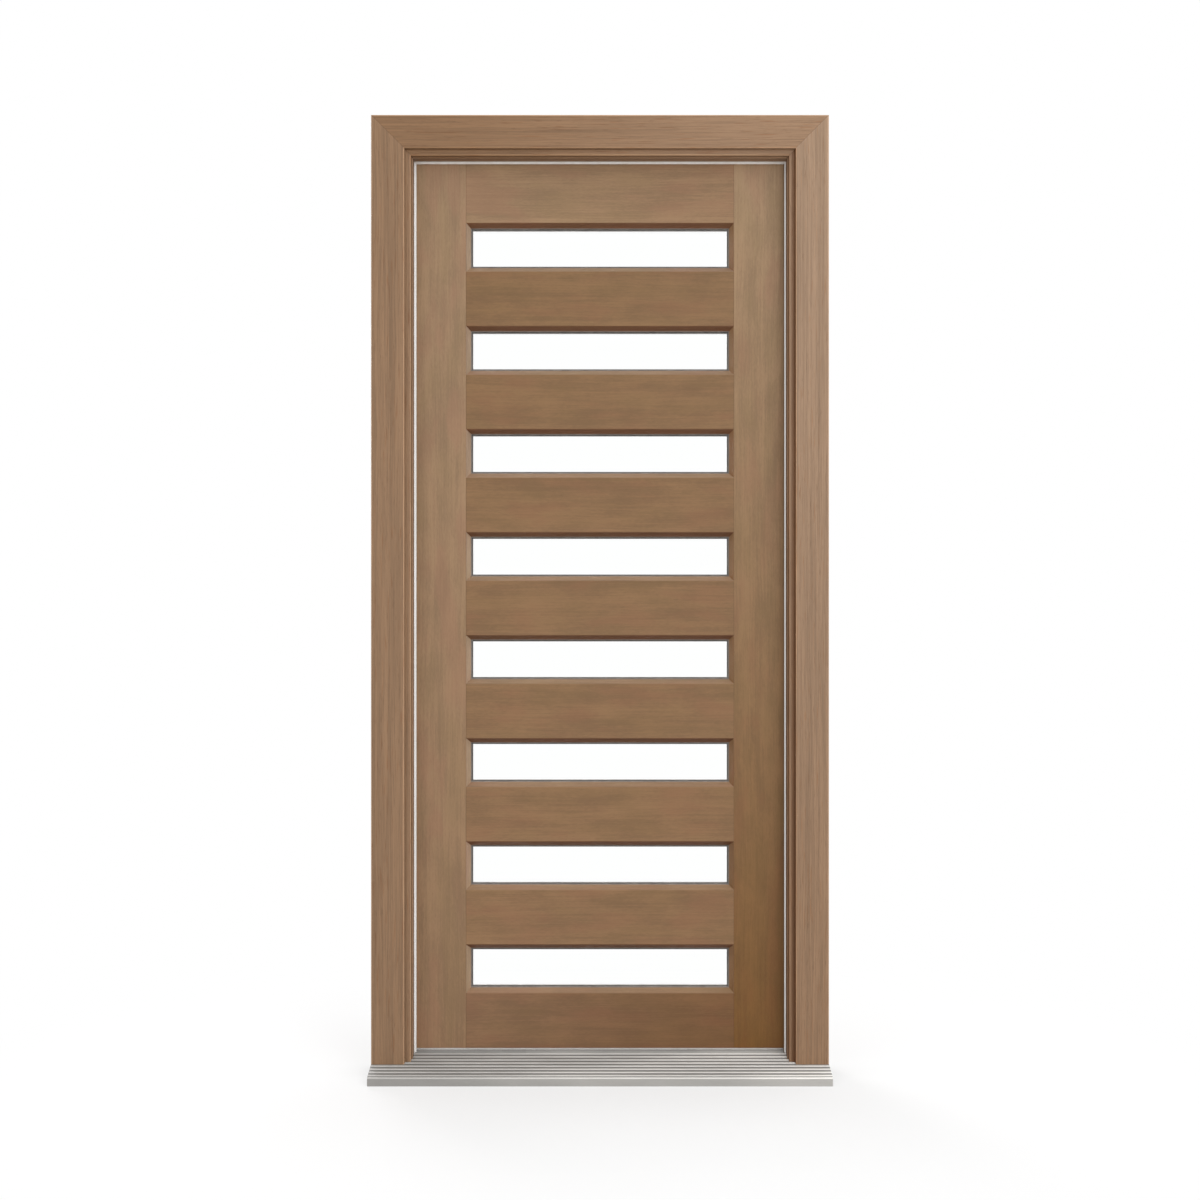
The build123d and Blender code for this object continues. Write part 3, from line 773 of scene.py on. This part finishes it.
def screw_heads(name, places, normal, radius, body):
    """Flat countersunk screw heads with a cross recess, each at a place and facing one way.

    A head is a polar grid, in shares of its radius. Its height is a low crown, falling with the
    square of the ring, less a recess where the point lies within half an arm's width of either
    cross line and short of the arm's end. The rim then turns down into the plate, and a point
    closes each end.
    """
    ring = np.append(np.linspace(INNER_RING, 1.0, SCREW_RINGS), 1.0)[:, None]
    angle = np.arange(SCREW_STEPS) * 2 * np.pi / SCREW_STEPS
    across = ring * np.cos(angle)
    along = ring * np.sin(angle)
    nearer = np.minimum(np.abs(across), np.abs(along))
    further = np.maximum(np.abs(across), np.abs(along))
    recess = short_of(ARM_HALF_WIDTH, nearer) * short_of(ARM_LENGTH, further)
    height = SCREW_CROWN * (1 - SCREW_FALL * ring ** 2) - SCREW_RECESS * recess
    height[-1] = -SCREW_UNDERSIDE
    normal = np.array(normal, float)
    first = np.cross(normal, (0, 0, 1)) if normal[2] == 0 else np.array((1.0, 0, 0))
    second = np.cross(normal, first)
    head = radius * (across[..., None] * first + along[..., None] * second) + height[..., None] * normal
    ends = np.array([(SCREW_CROWN - SCREW_RECESS) * normal, -SCREW_UNDERSIDE * normal])
    head = np.vstack([head.reshape(-1, 3), ends])

    step = np.arange(SCREW_STEPS)
    after = (step + 1) % SCREW_STEPS
    last_ring = (len(ring) - 1) * SCREW_STEPS
    top_point = np.full(SCREW_STEPS, len(head) - 2)
    bottom_point = np.full(SCREW_STEPS, len(head) - 1)
    top_cap = np.stack([top_point, step, after], axis=-1)
    bottom_cap = np.stack([bottom_point, last_ring + after, last_ring + step], axis=-1)
    faces = repeated(grid_faces(len(ring), SCREW_STEPS), len(head), len(places))
    faces += repeated(np.vstack([top_cap, bottom_cap]), len(head), len(places))
    points = np.array(places)[:, None, :] + head[None]
    add_piece(name, points, faces, SCREW_METAL, body, smooth=True)


HINGE_SCREW_HEIGHTS = (0.13, 0.38, 0.62, 0.87)
HINGE_SCREW_DEPTHS = (21 * MM, 10 * MM, 10 * MM, 21 * MM)
HINGE_SCREW_RADIUS = 4 * MM


def hinge_screw_places(face_x):
    """Four staggered screws on each of the three hinge plates, on the plane at face_x."""
    places = []
    for place in HINGE_PLACES:
        low, high = span(f"hinge_{place}_frame_half")
        for share, depth in zip(HINGE_SCREW_HEIGHTS, HINGE_SCREW_DEPTHS):
            places.append((face_x, LEAF_HIGH[1] - depth, low[2] + share * (high[2] - low[2])))
    return places


# The threshold strip ends where the jamb's hinge plates lie
JAMB_PLATES = hinge_screw_places(STRIP_LOW[0])
LEAF_PLATES = hinge_screw_places(LEAF_LOW[0])
screw_heads("hinge_screws_frame", JAMB_PLATES, (1, 0, 0), HINGE_SCREW_RADIUS, "frame")
screw_heads("hinge_screws_leaf", LEAF_PLATES, (-1, 0, 0), HINGE_SCREW_RADIUS, "leaf")

STRIP_SCREWS = 5
STRIP_SCREW_RADIUS = 3.5 * MM
STRIP_SCREW_FROM_END = 40 * MM
STRIP_SCREW_FROM_BACK = 12 * MM
strip_x = np.linspace(STRIP_LOW[0] + STRIP_SCREW_FROM_END, STRIP_HIGH[0] - STRIP_SCREW_FROM_END, STRIP_SCREWS)
strip_places = [(x, STRIP_HIGH[1] - STRIP_SCREW_FROM_BACK, STRIP_HIGH[2]) for x in strip_x]
screw_heads("threshold_screws", strip_places, (0, 0, 1), STRIP_SCREW_RADIUS, "frame")


# Floor, lights and camera
FLOOR_HALF = 14.0
FLOOR_BOUNCE = (0.42, 0.42, 0.42, 1.0)
FLOOR_HOLD = 0.4
FLOOR_LIGHT = 1.25
FOOTPRINT_HALF = {"X": 0.5, "Y": 0.1}
SHADE_START = 0.12
SHADE_END = 0.95
SKY_LEVEL = 0.1
SKY_RISE = 1.5


def seen_ray(tree):
    """1 for a ray that comes from the camera, a reflection or through glass."""
    path = tree.node("ShaderNodeLightPath").outputs
    other = tree.maths("MAXIMUM", path["Is Glossy Ray"], path["Is Transmission Ray"])
    return tree.maths("MAXIMUM", path["Is Camera Ray"], other)


def studio_floor():
    """Pale floor that holds the door's shadow near it and turns plain white further away.

    A point's distance from the door's footprint is the length of what its x and y leave outside
    the footprint's half sizes, and the held share falls smoothly with it. That share is the
    floor's own colour there, and its glow is 1 less the share times the light that falls on it.
    """
    mesh = bpy.data.meshes.new("floor")
    corners = [(-FLOOR_HALF, -FLOOR_HALF, 0.0), (FLOOR_HALF, -FLOOR_HALF, 0.0),
               (FLOOR_HALF, FLOOR_HALF, 0.0), (-FLOOR_HALF, FLOOR_HALF, 0.0)]
    mesh.from_pydata(corners, [], [(0, 1, 2, 3)])
    floor = bpy.data.objects.new("floor", mesh)
    bpy.context.scene.collection.objects.link(floor)
    material, tree, shader = new_material("pale_floor")
    place = tree.axes(tree.node("ShaderNodeTexCoord").outputs["Object"])
    squares = []
    for axis, half in FOOTPRINT_HALF.items():
        outside = tree.maths("SUBTRACT", tree.maths("ABSOLUTE", place[axis]), half)
        outside = tree.maths("MAXIMUM", outside, 0.0)
        squares.append(tree.maths("MULTIPLY", outside, outside))
    apart = tree.maths("SQRT", tree.maths("ADD", *squares))
    held = tree.maths("MULTIPLY", tree.ease(apart, SHADE_END, SHADE_START), FLOOR_HOLD)
    glow = tree.maths("MULTIPLY_ADD", held, -FLOOR_LIGHT, 1.0)
    seen = seen_ray(tree)
    tree.feed(shader["Base Color"], tree.mix(seen, FLOOR_BOUNCE, tree.mix(held, BLACK, WHITE)))
    shader["Emission Color"].default_value = WHITE
    tree.feed(shader["Emission Strength"], tree.maths("MULTIPLY", seen, glow))
    shader["Roughness"].default_value = 0.9
    shader["Specular IOR Level"].default_value = 0.0
    mesh.materials.append(material)


def studio_sky():
    """Plain white sky where it is seen, and soft light from it that is brighter overhead."""
    world = bpy.context.scene.world or bpy.data.worlds.new("studio")
    bpy.context.scene.world = world
    world.use_nodes = True
    tree = Tree(world.node_tree)
    background = world.node_tree.nodes["Background"].inputs
    direction = tree.axes(tree.node("ShaderNodeTexCoord").outputs["Generated"])
    rise = tree.maths("MAXIMUM", direction["Z"], 0.0)
    light = tree.maths("MULTIPLY_ADD", rise, SKY_RISE, SKY_LEVEL)
    to_white = tree.maths("SUBTRACT", 1.0, light)
    tree.feed(background["Strength"], tree.maths("MULTIPLY_ADD", seen_ray(tree), to_white, light))
    background["Color"].default_value = WHITE


studio_floor()
studio_sky()

# Lamps: azimuth in degrees, height, size and level, the share of full light on a face turned to it
AIM = Vector((0.0, 0.05, 1.05))
LAMP_DISTANCE = 7.5
LAMPS = {
    "key_lamp": (20, 3.2, 2.0, 0.18),
    "side_lamp": (37, 2.7, 4.5, 0.185),
    "fill_lamp": (-30, 1.6, 3.0, 0.09),
    "back_lamp": (205, 3.0, 3.0, 0.42),
}


def soft_lamp(name, azimuth, height, size, level):
    """A square area lamp whose power is its level times pi squared times its squared distance."""
    turn = np.radians(azimuth)
    away = Vector((np.sin(turn) * LAMP_DISTANCE, -np.cos(turn) * LAMP_DISTANCE, height - AIM.z))
    lamp = bpy.data.lights.new(name, "AREA")
    lamp.shape = "SQUARE"
    lamp.size = size
    lamp.energy = level * np.pi ** 2 * away.length_squared
    holder = bpy.data.objects.new(name, lamp)
    bpy.context.scene.collection.objects.link(holder)
    holder.location = AIM + away
    holder.rotation_euler = (-away).to_track_quat("-Z", "Y").to_euler()


for name, (azimuth, height, size, level) in LAMPS.items():
    soft_lamp(name, azimuth, height, size, level)

CAMERA_DISTANCE = 3.6
CAMERA_HEIGHT = 1.05
FOCAL_LENGTH = 49.2
camera_data = bpy.data.cameras.new("camera")
camera_data.sensor_width = 36.0
camera_data.lens = FOCAL_LENGTH
camera = bpy.data.objects.new("camera", camera_data)
bpy.context.scene.collection.objects.link(camera)
camera.location = (0.0, -CAMERA_DISTANCE, CAMERA_HEIGHT)
camera.rotation_euler = (np.pi / 2, 0.0, 0.0)
bpy.context.scene.camera = camera
bpy.context.scene.view_settings.view_transform = "Standard"
